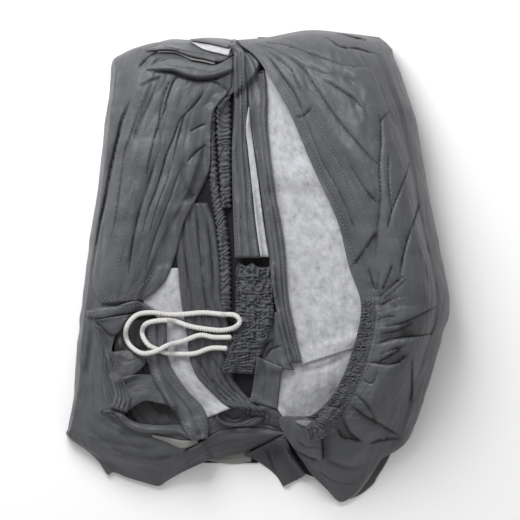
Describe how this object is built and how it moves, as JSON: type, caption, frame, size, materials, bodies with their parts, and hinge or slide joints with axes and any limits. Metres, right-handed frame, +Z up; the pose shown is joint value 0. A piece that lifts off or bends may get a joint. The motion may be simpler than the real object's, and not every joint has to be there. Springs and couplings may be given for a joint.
{
  "type": "folded car cover",
  "caption": "Fitted car cover folded into a loose bundle: grey coated shell with elastic hems, pale fleece lining showing in the middle and a white tie cord.",
  "frame": {"origin": "on the floor under the middle of the bundle", "axes": "+Z up out of the folded face, +Y towards the top of the bundle, +X to the right seen from above"},
  "size_m": [0.3837, 0.4742, 0.105],
  "materials": {
    "shell": "grey coated polyester shell cloth with a soft satin sheen, finely creased",
    "lining": "pale heather grey brushed fleece lining, matt",
    "elastic": "grey shell cloth drawn up over sewn-in elastic",
    "cord": "white braided polyester cord"
  },
  "bodies": {
    "root": {"shell_wrap": "shell", "inner_folds": "shell", "left_hem_panel": "shell", "centre_hem_band": "shell", "front_hem_band": "shell", "gathered_strip": "shell", "pocket_cloth": "shell", "pocket_rim": "shell", "cuff_strap": "shell", "cuff_flap": "shell", "lower_hem_band": "shell", "lower_facing": "shell", "bottom_roll": "shell", "corner_flap": "shell", "rolled_end": "shell", "top_flap": "shell", "top_layer": "shell", "top_lip": "shell", "lining_upper": "lining", "lining_lower": "lining", "lining_left": "lining", "lining_strip": "lining", "lining_top": "lining", "lining_edges": "lining", "ruched_strip_long": "elastic", "ruched_strip_short": "elastic", "elastic_gather": "elastic", "tie_cord": "cord"}
  },
  "joints": []
}
